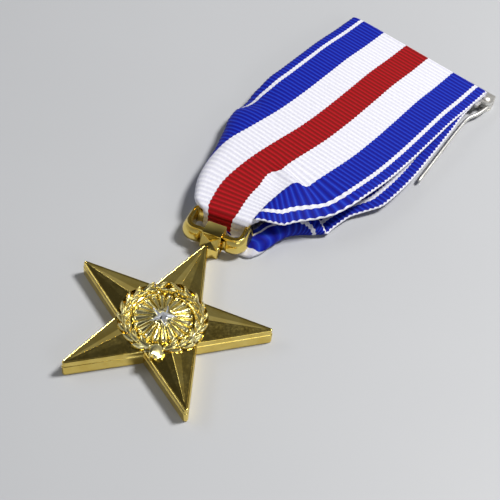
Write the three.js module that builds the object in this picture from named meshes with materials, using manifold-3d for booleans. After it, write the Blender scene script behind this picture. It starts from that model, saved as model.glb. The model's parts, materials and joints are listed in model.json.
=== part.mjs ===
// Full-size military service medal: a gilt five-pointed star with an applied laurel wreath, ray burst and
// silver centre star, hung by a rectangular loop from a folded drape ribbon with a pin brooch behind it.
// Millimetres, +Z up. The medal lies on its back, star towards -Y and brooch towards +Y. Lengths along the
// ribbon are measured from its top fold, and the star and loop lie turned against the ribbon.
import * as THREE from 'three';
import { mergeVertices } from 'three/addons/utils/BufferGeometryUtils.js';
import Module from 'manifold-3d';

const wasm = await Module();
wasm.setup();

// ---- driving dimensions ----
const GAP = 0.3; // clearance between neighbouring pieces

const RIBBON_WIDTH = 34.9;
const RIBBON_THICKNESS = 0.4;
const RIBBON_NECK_WIDTH = 8.8; // gathered width inside the loop
const RIBBON_NECK_Z = 0.25; // middle of the back layer at the loop; the front layer is as far above the bar

const STAR_TURN = THREE.MathUtils.degToRad(20.6); // star and loop against the ribbon
const STAR_CENTRE = [12.78, -89.39];
const STAR_RADIUS = 19; // where the edges of a ray would meet
const STAR_TIP_RADIUS = 17.85; // where the ray is blunted
const STAR_VALLEY_RATIO = 0.39;
const STAR_WALL = 2.2; // upright wall above the back
const STAR_RIM = 2.85; // top of the rim
const STAR_APEX = 4.3; // where the rays' ridges would meet
const STAR_SEAT_RADIUS = 7.45;
const STAR_SEAT = 2.5; // flat that carries the wreath and the burst
// Levels of [inset from the star's outline, z], from the back up to the foot of the rays' slopes.
const STAR_LEVELS = [
  [0.15, 0],
  [0, 0.15],
  [0, STAR_WALL],
  [0.2, STAR_WALL + 0.3],
  [0.2, STAR_RIM],
  [0.45, STAR_RIM + 0.2],
];

const APPLIED_BASE = STAR_SEAT + GAP;
const BURST_RADIUS = 4.85;
const BURST_RAYS = 20;
const BURST_TOP = 3.8;
// Rows of the burst's dome: [radius, z, how far a groove between two rays is set in, how far it is sunk].
const BURST_ROWS = [
  [0, APPLIED_BASE, 0, 0],
  [BURST_RADIUS - 0.25, APPLIED_BASE, 0.35, 0],
  [BURST_RADIUS, APPLIED_BASE + 0.25, 0.45, 0.1],
  [BURST_RADIUS - 0.2, APPLIED_BASE + 0.5, 0.35, 0.35],
  [3.6, BURST_TOP - 0.2, 0, 0.4],
  [2.4, BURST_TOP - 0.05, 0, 0.3],
  [1.7, BURST_TOP, 0, 0],
  [0, BURST_TOP, 0, 0],
];
const CENTRE_STAR_RADIUS = 2.6;
const CENTRE_STAR_EDGE = 0.25;
const CENTRE_STAR_HEIGHT = 0.85;

const WREATH_INNER = 5.3;
const WREATH_OUTER = 7.15;
const WREATH_MIDDLE = (WREATH_INNER + WREATH_OUTER) / 2;
const WREATH_TURN = THREE.MathUtils.degToRad(16); // the tie, from the valley opposite the top ray
const WREATH_START = THREE.MathUtils.degToRad(13); // from the tie
const WREATH_END = THREE.MathUtils.degToRad(176);
const WREATH_BED = 0.6; // height of the branch under its leaves
const LEAF_NODES = 8; // three leaves grow from each
const LEAF_HALF_WIDTH = 0.5;
const LEAF_HALF_HEIGHT = 0.45;
const LEAF_TILT = 0.2; // a leaf's tip rises from its stalk
const LEAF_CENTRE = 0.75; // above the branch's base
const SIDE_LEAF_OFFSET = 0.5;
const SIDE_LEAF_TURN = 0.5;
const SIDE_LEAF_LEAD = 0.1; // a side leaf sits this angle further along the branch
const TIE_HALF_WIDTH = 0.55;
const TIE_HALF_LENGTH = 1;
const TIE_HEIGHT = 1.1;
// The tails lie high enough to clear the star's facets.
const TAIL = { halfWidth: 0.4, length: 1.7, bottom: 3.6, top: 4.15, turn: 0.3, offset: 0.1 };

const LOOP_HALF_WIDTH = 5.4;
const LOOP_STRIP = 0.8; // strip thickness
const LOOP_DEPTH = 3.4; // strip width, upright as the medal lies
const LOOP_BAR_LOW = 20.15; // centre of the bar in the lug, from the star's centre
const LOOP_BAR_HIGH = 24.95; // centre of the bar in the ribbon
const LOOP_SHIFT = 0.3; // the loop's middle, from the star's axis
const LOOP_Z = 2.5; // middle of the strip
const LOOP_LOW_CORNER = 1.9; // outer radii of the loop's corners
const LOOP_HIGH_CORNER = 1.3;

const LUG_WIDTH = 3.5;
const LUG_SHIFT = 0.45; // the lug is brazed on off the star's axis
const LUG_CAVITY = [2.4, 3.9];
const LUG_WALL = 0.4;
const LUG_FOOT_HEIGHT = 2.6;
const LUG_FOOT_HALF_TIP = 0.5;
const LUG_FOOT_START = STAR_TIP_RADIUS + GAP; // just off the blunt tip of the top ray
const LUG_FOOT_OVERLAP = 0.9; // how far the foot runs into the sleeve

const PLATE = { left: -16.5, right: 15.8, low: -8.1, high: -1.6, bottom: 1.75, top: 2.35, corner: 0.8 };
const HINGE = [17.9, -0.4];
const HINGE_BORE = 0.75;
const RIVET_RADIUS = 0.45;
const RIVET_INSET = 0.05; // the rivet ends this far inside the ears' faces
const EAR_RADIUS = 1.6;
const EAR_THICKNESS = 0.4;
const WEB = [-1.5, 1.1]; // the fold between the ears, from the hinge's axis
const NECK = [3, 2.4]; // how far the upper ear's strip runs back over the plate, along X and Y
const WIRE_RADIUS = 0.38;
const WIRE_Z = 1.08;
const EYE_RADIUS = 1.45;
// The wire leaves the eye, bends out round the plate's corner and then runs straight.
const NEEDLE_BEND = [
  [HINGE[0] + 1.05, HINGE[1] - 0.3],
  [HINGE[0] + 1.1, -2.6],
  [18.85, -4.6],
  [18.25, -7.2],
];
const NEEDLE_STRAIGHT = [
  [18.6, -10.4],
  [21.75, -28.6],
];
const POINT_LENGTH = 2.4;
const POINT_OVERLAP = 0.1; // how far the point's cone runs into the wire
const CATCH_X = -11.5;
const CATCH_LENGTH = 3;
const CATCH = { back: -3.2, front: -6.5, strip: 0.4, floor: 0.35, lip: 0.55 };

// ---- materials ----
const gilt = new THREE.MeshStandardMaterial({ color: 0xd9ab2b, roughness: 0.18, metalness: 1 });
const silver = new THREE.MeshStandardMaterial({ color: 0xd8dade, roughness: 0.15, metalness: 1 });
const nickel = new THREE.MeshStandardMaterial({ color: 0xc4c3bb, roughness: 0.28, metalness: 1 });
const cloth = new THREE.MeshStandardMaterial({ color: 0x2a3fb4, roughness: 0.85, metalness: 0 });

// ---- solids ----
function toSolid(geometry) {
  geometry.deleteAttribute('normal');
  geometry.deleteAttribute('uv');
  const merged = mergeVertices(geometry, 1e-4);
  const vertProperties = new Float32Array(merged.attributes.position.array);
  const triVerts = new Uint32Array(merged.index.array);
  return new wasm.Manifold(new wasm.Mesh({ numProp: 3, vertProperties, triVerts }));
}

function toGeometry(solid) {
  const mesh = solid.getMesh();
  const geometry = new THREE.BufferGeometry();
  geometry.setAttribute('position', new THREE.BufferAttribute(mesh.vertProperties, 3));
  geometry.setIndex(new THREE.BufferAttribute(mesh.triVerts, 1));
  return geometry;
}

function joined(geometries) {
  return geometries.map(toSolid).reduce((sum, solid) => sum.add(solid));
}

function block(x0, x1, y0, y1, z0, z1) {
  const geometry = new THREE.BoxGeometry(x1 - x0, y1 - y0, z1 - z0);
  return geometry.translate((x0 + x1) / 2, (y0 + y1) / 2, (z0 + z1) / 2);
}

function drum(x, y, radius, z0, z1, segments = 24) {
  const geometry = new THREE.CylinderGeometry(radius, radius, z1 - z0, segments);
  return geometry.rotateX(Math.PI / 2).translate(x, y, (z0 + z1) / 2);
}

function slab(shape, z0, z1, curveSegments = 6) {
  const options = { depth: z1 - z0, bevelEnabled: false, curveSegments };
  return new THREE.ExtrudeGeometry(shape, options).translate(0, 0, z0);
}

// A lathe about Z; the profile runs from the axis at the bottom to the axis at the top.
function turned(profile, segments) {
  const points = profile.map(([r, z]) => new THREE.Vector2(r, z));
  return new THREE.LatheGeometry(points, segments).rotateX(Math.PI / 2);
}

function roundedRectangle(shape, x0, x1, y0, y1, lowRadius, highRadius) {
  shape.moveTo(x0 + lowRadius, y0);
  shape.lineTo(x1 - lowRadius, y0);
  shape.absarc(x1 - lowRadius, y0 + lowRadius, lowRadius, -Math.PI / 2, 0);
  shape.lineTo(x1, y1 - highRadius);
  shape.absarc(x1 - highRadius, y1 - highRadius, highRadius, 0, Math.PI / 2);
  shape.lineTo(x0 + highRadius, y1);
  shape.absarc(x0 + highRadius, y1 - highRadius, highRadius, Math.PI / 2, Math.PI);
  shape.lineTo(x0, y0 + lowRadius);
  shape.absarc(x0 + lowRadius, y0 + lowRadius, lowRadius, Math.PI, Math.PI * 1.5);
  return shape;
}

// A five-pointed star given as levels of [inset from the outline, z], closed at both ends on its axis.
// Each lathe row has ten corners, tips and valleys in turn, and an inset moves every edge by the same amount.
function starSolid(radius, levels, bottom, top) {
  const valley = radius * STAR_VALLEY_RATIO;
  const edge = Math.hypot(radius - valley * Math.cos(Math.PI / 5), valley * Math.sin(Math.PI / 5));
  const tipSine = (valley * Math.sin(Math.PI / 5)) / edge;
  const valleySine = (radius * Math.sin(Math.PI / 5)) / edge;
  const geometry = turned([[0, bottom], ...levels.map(([, z]) => [1, z]), [0, top]], 10);
  const position = geometry.attributes.position;
  const rows = levels.length + 2;
  for (let i = 0; i < position.count; i += 1) {
    const row = i % rows;
    if (row > 0 && row < rows - 1) {
      const isTip = Math.floor(i / rows) % 2 === 1;
      const inset = levels[row - 1][0];
      const reach = isTip ? radius - inset / tipSine : valley - inset / valleySine;
      position.setXY(i, position.getX(i) * reach, position.getY(i) * reach);
    }
  }
  return geometry;
}

// ---- star ----
function starBody() {
  const blank = toSolid(starSolid(STAR_RADIUS, STAR_LEVELS, 0, STAR_APEX));
  const blunted = blank.intersect(toSolid(drum(0, 0, STAR_TIP_RADIUS, -1, STAR_APEX + 1, 90)));
  const seat = toSolid(drum(0, 0, STAR_SEAT_RADIUS, STAR_SEAT, STAR_APEX + 1, 48));
  return toGeometry(blunted.subtract(seat));
}

// A dome whose rows rise and fall once for every ray.
function rayBurst() {
  const profile = BURST_ROWS.map(([radius, z]) => [radius, z]);
  const geometry = turned(profile, BURST_RAYS * 2);
  const position = geometry.attributes.position;
  for (let i = 0; i < position.count; i += 1) {
    const isGroove = Math.floor(i / BURST_ROWS.length) % 2 === 1;
    const [radius, z, setIn, sunk] = BURST_ROWS[i % BURST_ROWS.length];
    if (isGroove && radius > 0) {
      const shrink = 1 - setIn / radius;
      position.setXYZ(i, position.getX(i) * shrink, position.getY(i) * shrink, z - sunk);
    }
  }
  return geometry;
}

function centreStar() {
  const bottom = BURST_TOP + GAP;
  const levels = [
    [0, bottom],
    [0, bottom + CENTRE_STAR_EDGE],
  ];
  return starSolid(CENTRE_STAR_RADIUS, levels, bottom, bottom + CENTRE_STAR_HEIGHT);
}

function leaf(radius, angle, turn, length) {
  const geometry = new THREE.SphereGeometry(1, 6, 4);
  geometry.rotateX(Math.PI / 2);
  geometry.scale(length / 2, LEAF_HALF_WIDTH, LEAF_HALF_HEIGHT);
  geometry.rotateY(-LEAF_TILT);
  geometry.rotateZ(angle + turn);
  return geometry.translate(radius * Math.cos(angle), radius * Math.sin(angle), APPLIED_BASE + LEAF_CENTRE);
}

// One branch of the wreath, from the tie nearly round to the other branch; side is 1 or -1.
function wreathBranch(side) {
  const tie = -Math.PI / 2 + WREATH_TURN;
  const first = tie + WREATH_START * side;
  const last = tie + WREATH_END * side;
  const arc = new THREE.Shape();
  arc.absarc(0, 0, WREATH_OUTER - 0.35, first, last, side < 0);
  arc.absarc(0, 0, WREATH_INNER, last, first, side > 0);
  const pieces = [slab(arc, APPLIED_BASE, APPLIED_BASE + WREATH_BED, 14)];
  const along = (side * Math.PI) / 2;
  const turn = SIDE_LEAF_TURN * side;
  for (let i = 0; i < LEAF_NODES; i += 1) {
    const angle = first + ((last - first) * (i + 0.55)) / LEAF_NODES;
    const sideAngle = angle + SIDE_LEAF_LEAD * side;
    pieces.push(leaf(WREATH_MIDDLE, angle, along, 2.3));
    pieces.push(leaf(WREATH_MIDDLE + SIDE_LEAF_OFFSET, sideAngle, along - turn, 2));
    pieces.push(leaf(WREATH_MIDDLE - SIDE_LEAF_OFFSET, sideAngle, along + turn, 1.9));
  }
  return toGeometry(joined(pieces));
}

// A knot over the ends of the branches, with two tails pointing out from the star's centre.
function wreathTie() {
  const half = TIE_HALF_WIDTH;
  const low = -WREATH_MIDDLE - TIE_HALF_LENGTH;
  const high = -WREATH_MIDDLE + TIE_HALF_LENGTH;
  const pieces = [block(-half, half, low, high, APPLIED_BASE, APPLIED_BASE + TIE_HEIGHT)];
  for (const side of [-1, 1]) {
    const tail = block(
      -TAIL.halfWidth,
      TAIL.halfWidth,
      -TAIL.length,
      0,
      TAIL.bottom,
      TAIL.top,
    );
    tail.rotateZ(side * TAIL.turn);
    pieces.push(tail.translate(side * TAIL.offset, -WREATH_MIDDLE - TAIL.offset, 0));
  }
  return toGeometry(joined(pieces)).rotateZ(WREATH_TURN);
}

// ---- suspension ----
function suspensionLoop() {
  const half = LOOP_HALF_WIDTH;
  const low = LOOP_BAR_LOW - LOOP_STRIP / 2;
  const high = LOOP_BAR_HIGH + LOOP_STRIP / 2;
  const outline = new THREE.Shape();
  roundedRectangle(outline, -half, half, low, high, LOOP_LOW_CORNER, LOOP_HIGH_CORNER);
  const inner = half - LOOP_STRIP;
  const opening = new THREE.Path();
  roundedRectangle(
    opening,
    -inner,
    inner,
    low + LOOP_STRIP,
    high - LOOP_STRIP,
    LOOP_LOW_CORNER - LOOP_STRIP,
    LOOP_HIGH_CORNER - LOOP_STRIP,
  );
  outline.holes.push(opening);
  return slab(outline, LOOP_Z - LOOP_DEPTH / 2, LOOP_Z + LOOP_DEPTH / 2, 5).translate(LOOP_SHIFT, 0, 0);
}

// The sleeve round the loop's low bar, with a foot that narrows to the star's top ray.
function suspensionLug() {
  const [cavityDepth, cavityHeight] = LUG_CAVITY;
  const half = LUG_WIDTH / 2;
  const y0 = LOOP_BAR_LOW - cavityDepth / 2 - LUG_WALL;
  const y1 = LOOP_BAR_LOW + cavityDepth / 2 + LUG_WALL;
  const z0 = LOOP_Z - cavityHeight / 2 - LUG_WALL;
  const z1 = LOOP_Z + cavityHeight / 2 + LUG_WALL;
  const foot = new THREE.Shape();
  foot.moveTo(-LUG_FOOT_HALF_TIP, LUG_FOOT_START);
  foot.lineTo(LUG_FOOT_HALF_TIP, LUG_FOOT_START);
  foot.lineTo(half, y0 + LUG_FOOT_OVERLAP);
  foot.lineTo(-half, y0 + LUG_FOOT_OVERLAP);
  const body = joined([block(-half, half, y0, y1, z0, z1), slab(foot, 0, LUG_FOOT_HEIGHT)]);
  const through = LUG_WIDTH;
  const cavity = block(-through, through, y0 + LUG_WALL, y1 - LUG_WALL, z0 + LUG_WALL, z1 - LUG_WALL);
  return toGeometry(body.subtract(toSolid(cavity))).translate(LUG_SHIFT, 0, 0);
}

// ---- ribbon ----
// A place on the loop's high bar in ribbon coordinates: across the bar, along the star's axis, and height.
function atHighBar(across, along, z) {
  const x = LOOP_SHIFT + across;
  const y = LOOP_BAR_HIGH + along;
  return new THREE.Vector3(
    STAR_CENTRE[0] + x * Math.cos(STAR_TURN) - y * Math.sin(STAR_TURN),
    STAR_CENTRE[1] + x * Math.sin(STAR_TURN) + y * Math.cos(STAR_TURN),
    z,
  );
}

// Both edges of the strip as pairs of points [left, right]: up the back from the loop is the strip's start,
// it runs down the back, round the bar, up the front, and over the top fold to meet its own start.
function ribbonEdges() {
  const half = RIBBON_WIDTH / 2;
  const pairs = [];
  const add = (xLeft, xRight, y, z, tilt = 0) => {
    pairs.push([new THREE.Vector3(xLeft, y - tilt, z), new THREE.Vector3(xRight, y + tilt, z)]);
  };
  const backZ = PLATE.top + GAP + RIBBON_THICKNESS / 2;
  const frontZ = backZ + 0.62;
  add(-half, half, -5, backZ);
  add(-half, half + 0.4, -10, backZ);
  add(-half, half + 2, -22, 2.35);
  add(-15.4, half + 3, -34, 1.95);
  add(-11, 18.6, -46, 1);
  add(-6.4, 14.6, -57, 0.4, 1);
  add(-3, 11.4, -62, 0.28, 2);
  const neck = RIBBON_NECK_WIDTH / 2;
  pairs.push([atHighBar(-neck, 2.4, RIBBON_NECK_Z), atHighBar(neck, 2.4, RIBBON_NECK_Z)]);
  const turnRadius = LOOP_Z - RIBBON_NECK_Z;
  for (let i = 0; i <= 6; i += 1) {
    const angle = (Math.PI * i) / 6;
    const along = -turnRadius * Math.sin(angle);
    const z = LOOP_Z - turnRadius * Math.cos(angle);
    pairs.push([atHighBar(-neck, along, z), atHighBar(neck, along, z)]);
  }
  const neckTop = LOOP_Z + turnRadius;
  pairs.push([atHighBar(-neck, 2.4, neckTop), atHighBar(neck, 2.4, neckTop)]);
  add(-4.2, 11, -61.2, 4.8, 1.6);
  add(-7.4, 14.4, -57, 4.85, 0.6);
  add(-11.5, 18.1, -47, 4.8);
  add(-15.6, 18.9, -33, 4.5);
  add(-17.5, 18, -18, 4.1);
  add(-half, half, -6, frontZ);
  add(-half, half, -0.5, frontZ);
  const foldRadius = (frontZ - backZ) / 2;
  for (const angle of [0.5, 1, 1.5, 2, 2.5]) {
    add(-half, half, -0.4 + foldRadius * Math.sin(angle), backZ + foldRadius * (1 + Math.cos(angle)));
  }
  add(-half, half, -0.5, backZ);
  add(-half, half, -4.4, backZ);
  return pairs;
}

// A box's vertices are laid along the strip: X across the width, Y along the length, Z through the cloth.
function ribbon() {
  const pairs = ribbonEdges();
  const left = new THREE.CatmullRomCurve3(pairs.map((pair) => pair[0]), false, 'centripetal');
  const right = new THREE.CatmullRomCurve3(pairs.map((pair) => pair[1]), false, 'centripetal');
  const rows = (pairs.length - 1) * 2;
  const geometry = new THREE.BoxGeometry(1, 1, 1, 4, rows, 1);
  const position = geometry.attributes.position;
  const start = new THREE.Vector3();
  const across = new THREE.Vector3();
  const through = new THREE.Vector3();
  for (let i = 0; i < position.count; i += 1) {
    const t = position.getY(i) + 0.5;
    start.copy(left.getPoint(t));
    across.copy(right.getPoint(t)).sub(start);
    through.crossVectors(across, left.getTangent(t)).normalize();
    start.addScaledVector(across, position.getX(i) + 0.5);
    start.addScaledVector(through, position.getZ(i) * RIBBON_THICKNESS);
    position.setXYZ(i, start.x, start.y, start.z);
  }
  return geometry;
}

// ---- brooch ----
// A flat strip whose right end is folded back under itself to make the two ears of the needle's hinge.
function broochPlate() {
  const [hx, hy] = HINGE;
  const { left, right, low, high, bottom, top, corner } = PLATE;
  const strip = roundedRectangle(new THREE.Shape(), left, right, low, high, corner, corner);
  const webTop = hy + EAR_RADIUS + EAR_THICKNESS;
  const webLeft = hx + WEB[0];
  const webRight = hx + WEB[1];
  const pieces = [
    slab(strip, bottom, top, 4),
    block(right - NECK[0], hx, high - NECK[1], webTop, bottom, top),
    drum(hx, hy, EAR_RADIUS, bottom, top),
    block(webLeft, webRight, webTop - EAR_THICKNESS, webTop, 0, top),
    drum(hx, hy, EAR_RADIUS, 0, EAR_THICKNESS),
    block(webLeft, webRight, hy, webTop, 0, EAR_THICKNESS),
    block(webLeft, webRight, hy, webTop, bottom, top),
  ];
  return toGeometry(joined(pieces).subtract(toSolid(drum(hx, hy, HINGE_BORE, -1, top + 1, 20))));
}

function hingeRivet() {
  return drum(HINGE[0], HINGE[1], RIVET_RADIUS, RIVET_INSET, PLATE.top - RIVET_INSET, 16);
}

function pinNeedle() {
  const [hx, hy] = HINGE;
  const ring = new THREE.Shape();
  ring.absarc(hx, hy, EYE_RADIUS, 0, Math.PI * 2);
  const bore = new THREE.Path();
  bore.absarc(hx, hy, HINGE_BORE, 0, Math.PI * 2);
  ring.holes.push(bore);
  const eye = slab(ring, WIRE_Z - WIRE_RADIUS, WIRE_Z + WIRE_RADIUS, 10);

  const route = [...NEEDLE_BEND, ...NEEDLE_STRAIGHT].map(([x, y]) => new THREE.Vector3(x, y, WIRE_Z));
  const path = new THREE.CatmullRomCurve3(route, false, 'centripetal');
  const section = new THREE.Shape();
  section.absarc(0, 0, WIRE_RADIUS, 0, Math.PI * 2);
  const wire = new THREE.ExtrudeGeometry(section, { steps: 24, extrudePath: path, curveSegments: 5 });

  const [from, end] = route.slice(-2);
  const direction = end.clone().sub(from).normalize();
  const point = new THREE.ConeGeometry(WIRE_RADIUS * 0.98, POINT_LENGTH, 10);
  point.applyQuaternion(new THREE.Quaternion().setFromUnitVectors(new THREE.Vector3(0, 1, 0), direction));
  const middle = end.clone().addScaledVector(direction, POINT_LENGTH / 2 - POINT_OVERLAP);
  point.translate(middle.x, middle.y, middle.z);
  return toGeometry(joined([eye, wire, point]));
}

// A hooked strip soldered under the plate; the closed needle comes in from -Y and lies in it.
function pinCatch() {
  const { back, front, strip, floor, lip } = CATCH;
  const top = PLATE.bottom - GAP;
  const profile = new THREE.Shape();
  profile.moveTo(back, 0);
  profile.lineTo(back, top);
  profile.lineTo(back - strip, top);
  profile.lineTo(back - strip, floor);
  profile.lineTo(front + strip, floor);
  profile.lineTo(front + strip, lip);
  profile.lineTo(front, lip);
  profile.lineTo(front, 0);
  const geometry = new THREE.ExtrudeGeometry(profile, { depth: CATCH_LENGTH, bevelEnabled: false });
  // The profile's (x, y) becomes (y, z), and its depth runs along X.
  geometry.applyMatrix4(new THREE.Matrix4().set(0, 0, 1, 0, 1, 0, 0, 0, 0, 1, 0, 0, 0, 0, 0, 1));
  return geometry.translate(CATCH_X - CATCH_LENGTH / 2, 0, 0);
}

// ---- assembly ----
function part(name, geometry, material) {
  const mesh = new THREE.Mesh(geometry, material);
  mesh.name = name;
  return mesh;
}

const hung = new THREE.Group();
hung.position.set(STAR_CENTRE[0], STAR_CENTRE[1], 0);
hung.rotation.z = STAR_TURN;
hung.add(
  part('star_body', starBody(), gilt),
  part('ray_burst', rayBurst(), gilt),
  part('wreath_branch_left', wreathBranch(-1), gilt),
  part('wreath_branch_right', wreathBranch(1), gilt),
  part('wreath_tie', wreathTie(), gilt),
  part('centre_star', centreStar(), silver),
  part('suspension_lug', suspensionLug(), gilt),
  part('suspension_loop', suspensionLoop(), gilt),
);

const medal = new THREE.Group();
medal.add(
  hung,
  part('ribbon', ribbon(), cloth),
  part('brooch_plate', broochPlate(), nickel),
  part('hinge_rivet', hingeRivet(), nickel),
  part('pin_needle', pinNeedle(), nickel),
  part('pin_catch', pinCatch(), nickel),
);

// The origin is the middle of the footprint, on the surface that the medal lies on.
const bounds = new THREE.Box3().setFromObject(medal, true);
medal.position.set(-(bounds.min.x + bounds.max.x) / 2, -(bounds.min.y + bounds.max.y) / 2, -bounds.min.z);

export default medal;
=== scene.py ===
import json
import math
import random

import bmesh
import bpy
import numpy as np
from mathutils import Matrix, Vector


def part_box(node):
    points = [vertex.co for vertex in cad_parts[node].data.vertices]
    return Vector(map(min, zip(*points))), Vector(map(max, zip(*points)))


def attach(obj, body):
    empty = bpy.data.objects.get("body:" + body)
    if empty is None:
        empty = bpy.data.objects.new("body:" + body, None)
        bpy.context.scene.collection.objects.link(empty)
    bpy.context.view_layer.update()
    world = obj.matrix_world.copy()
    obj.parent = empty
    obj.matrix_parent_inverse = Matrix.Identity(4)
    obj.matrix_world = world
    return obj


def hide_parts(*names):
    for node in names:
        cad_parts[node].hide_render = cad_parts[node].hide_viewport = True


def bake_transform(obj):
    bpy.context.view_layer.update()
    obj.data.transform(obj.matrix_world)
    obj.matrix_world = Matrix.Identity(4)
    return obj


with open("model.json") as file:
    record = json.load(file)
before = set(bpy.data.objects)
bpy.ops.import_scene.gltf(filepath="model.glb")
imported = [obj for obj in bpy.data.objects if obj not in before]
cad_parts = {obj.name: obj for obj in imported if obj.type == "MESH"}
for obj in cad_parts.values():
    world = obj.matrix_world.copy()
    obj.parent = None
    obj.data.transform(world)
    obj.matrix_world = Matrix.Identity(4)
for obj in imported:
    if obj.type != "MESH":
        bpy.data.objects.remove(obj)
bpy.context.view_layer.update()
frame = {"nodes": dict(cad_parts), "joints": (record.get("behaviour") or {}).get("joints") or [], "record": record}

# ---- places, from the frame ----
# Each piece is made in millimetres in the star's frame (origin under the star's centre, +Y to its top ray)
# or in the ribbon's frame (origin below the middle of the top fold, +Y to the brooch), and is then brought
# into the row frame in metres.
MM = 0.001
UP = Vector((0, 0, 1))
MOUNTS = {m["name"]: Vector(m["pos_m"]) for m in frame["record"]["mounts"]}
JOINTS = {j["name"]: j for j in frame["joints"]}


def frame_at(origin, x_axis):
    x = Vector(x_axis).normalized()
    turn = Matrix((x, UP.cross(x), UP)).transposed().to_4x4()
    return Matrix.Translation(origin) @ turn @ Matrix.Scale(MM, 4)


STAR = frame_at(MOUNTS["star_back"], JOINTS["star_swing"]["axis"])
PLATE_LEFT, PLATE_LOW = -16.5, -8.1
PLATE_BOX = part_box("brooch_plate")
RIBBON = frame_at((PLATE_BOX[0].x - PLATE_LEFT * MM, PLATE_BOX[0].y - PLATE_LOW * MM, 0), (1, 0, 0))
BAR_HIGH = STAR.inverted() @ Vector(JOINTS["loop_swing"]["pos_m"])
BAR_LOW = STAR.inverted() @ Vector(JOINTS["star_swing"]["pos_m"])
TOP_RAY = 90


# ---- mesh tools ----
def smooth_step(x, a, b):
    u = np.clip((x - a) / (b - a), 0, 1)
    return u * u * (3 - 2 * u)


def bell(x, middle, width):
    return np.exp(-(((x - middle) / width) ** 2))


def new_object(name, data):
    obj = bpy.data.objects.new(name, data)
    bpy.context.scene.collection.objects.link(obj)
    return obj


def add_mesh(name, vertices, faces, to_row, sharp=35):
    """A new object whose edges sharper than the given angle stay crisp."""
    mesh = bpy.data.meshes.new(name)
    mesh.from_pydata([tuple(float(c) for c in v) for v in vertices], [], faces)
    bm = bmesh.new()
    bm.from_mesh(mesh)
    bmesh.ops.remove_doubles(bm, verts=bm.verts, dist=1e-4)
    bmesh.ops.dissolve_degenerate(bm, dist=1e-5, edges=bm.edges)
    bmesh.ops.recalc_face_normals(bm, faces=bm.faces)
    bm.to_mesh(mesh)
    bm.free()
    mesh.transform(to_row)
    mesh.shade_smooth()
    mesh.set_sharp_from_angle(angle=math.radians(sharp))
    return new_object(name, mesh)


class Shell:
    """Vertices and faces gathered from several closed parts of one piece."""

    def __init__(self):
        self.vertices = []
        self.faces = []

    def add(self, vertices, faces):
        base = len(self.vertices)
        self.vertices.extend(vertices)
        self.faces.extend([[base + i for i in face] for face in faces])


def rings_to_faces(rings, count, cap_first=True, cap_last=True):
    """The faces that join rings of vertices one after another, each ring with count vertices."""
    faces = []
    for i in range(rings - 1):
        for j in range(count):
            k = (j + 1) % count
            faces.append([i * count + j, i * count + k, (i + 1) * count + k, (i + 1) * count + j])
    if cap_first:
        faces.append(list(range(count)))
    if cap_last:
        faces.append([(rings - 1) * count + j for j in range(count)])
    return faces


def catmull_rom(points, per_span=16):
    """A centripetal curve through the points, as an array of places along it."""
    p = np.array(points, float)
    p = np.vstack([2 * p[0] - p[1], p, 2 * p[-1] - p[-2]])
    places = []
    for p0, p1, p2, p3 in zip(p, p[1:], p[2:], p[3:]):
        t1 = max(np.linalg.norm(p1 - p0), 1e-9) ** 0.5
        t2 = t1 + max(np.linalg.norm(p2 - p1), 1e-9) ** 0.5
        t3 = t2 + max(np.linalg.norm(p3 - p2), 1e-9) ** 0.5
        for t in np.linspace(t1, t2, per_span, endpoint=False):
            a1 = (t1 - t) / t1 * p0 + t / t1 * p1
            a2 = (t2 - t) / (t2 - t1) * p1 + (t - t1) / (t2 - t1) * p2
            a3 = (t3 - t) / (t3 - t2) * p2 + (t - t2) / (t3 - t2) * p3
            b1 = (t2 - t) / t2 * a1 + t / t2 * a2
            b2 = (t3 - t) / (t3 - t1) * a2 + (t - t1) / (t3 - t1) * a3
            places.append((t2 - t) / (t2 - t1) * b1 + (t - t1) / (t2 - t1) * b2)
    places.append(p[-2])
    return np.array(places)


def tube(path, radii, sides=16, closed=False):
    """A round wire along a path; radii is one radius or one for each place."""
    path = np.array(path, float)
    radii = np.broadcast_to(radii, len(path))
    if closed:
        tangents = np.roll(path, -1, 0) - np.roll(path, 1, 0)
    else:
        tangents = np.gradient(path, axis=0)
    vertices = []
    side = None
    for place, tangent, radius in zip(path, tangents, radii):
        tangent = tangent / np.linalg.norm(tangent)
        if side is None:
            side = np.cross(tangent, (0, 0, 1) if abs(tangent[2]) < 0.9 else (1, 0, 0))
        side = side - tangent * (side @ tangent)
        side = side / np.linalg.norm(side)
        other = np.cross(tangent, side)
        for k in range(sides):
            a = 2 * math.pi * k / sides
            vertices.append(place + radius * (math.cos(a) * side + math.sin(a) * other))
    faces = rings_to_faces(len(path), sides, not closed, not closed)
    if closed:
        last = (len(path) - 1) * sides
        faces += [[last + j, last + (j + 1) % sides, (j + 1) % sides, j] for j in range(sides)]
    return vertices, faces


def bevelled(vertices, faces, width):
    """A closed polyhedron with all its edges rounded."""
    bm = bmesh.new()
    made = [bm.verts.new(v) for v in vertices]
    for face in faces:
        bm.faces.new([made[i] for i in face])
    bmesh.ops.recalc_face_normals(bm, faces=bm.faces)
    bmesh.ops.bevel(bm, geom=bm.edges[:], offset=width, segments=2, profile=0.5, affect="EDGES",
                    clamp_overlap=True)
    bm.verts.ensure_lookup_table()
    bm.verts.index_update()
    out = [tuple(v.co) for v in bm.verts], [[v.index for v in f.verts] for f in bm.faces]
    bm.free()
    return out


def soften(obj, width):
    """Rounds an object's sharp edges."""
    bevel = obj.modifiers.new("soft_edges", "BEVEL")
    bevel.width = width * MM
    bevel.segments = 2
    bevel.limit_method = "ANGLE"


def prism(outline, low, high):
    """An outline of (x, y) points raised from low to high."""
    n = len(outline)
    return [(x, y, z) for z in (low, high) for x, y in outline], rings_to_faces(2, n)


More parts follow.
